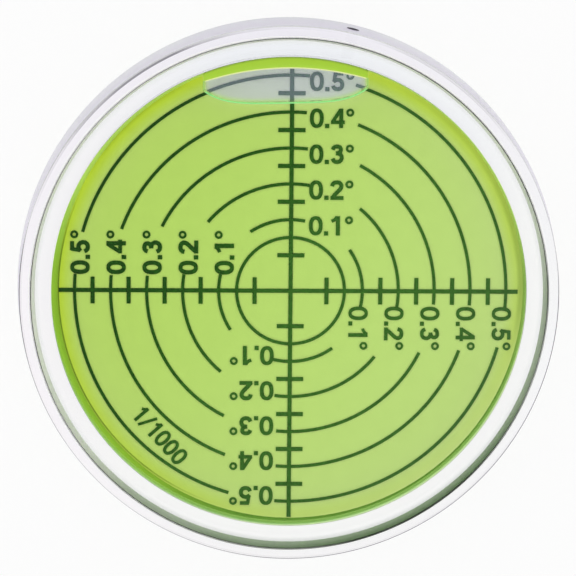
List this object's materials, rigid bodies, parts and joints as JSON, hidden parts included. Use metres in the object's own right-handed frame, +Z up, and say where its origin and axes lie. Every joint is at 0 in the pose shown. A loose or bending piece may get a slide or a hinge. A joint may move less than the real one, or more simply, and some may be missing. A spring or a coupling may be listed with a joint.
{
  "type": "round bubble level",
  "caption": "Clear round level for setting a surface flat in every direction, with green spirit, an air bubble and a ringed scale marked in tenths of a degree.",
  "frame": {"origin": "centre of the flat base, at the height of the surface that the level stands on", "axes": "+Z up through the window, +Y towards the side where the bubble lies, +X to the right when the numbers at +Y read upright"},
  "size_m": [0.0604, 0.0604, 0.0066],
  "materials": {
    "clear_acrylic": "clear polished acrylic",
    "window_glass": "clear polished faces with a fine-ground edge",
    "white_dial": "smooth satin white",
    "dark_print": "matt ink",
    "green_spirit": "clear liquid dyed yellow-green",
    "clear_pin": "clear acrylic with cut ends"
  },
  "bodies": {
    "root": {"housing": "clear_acrylic", "window": "window_glass", "dial": "white_dial", "scale_print": "dark_print", "spirit": "green_spirit", "fill_pin": "clear_pin"}
  },
  "joints": []
}
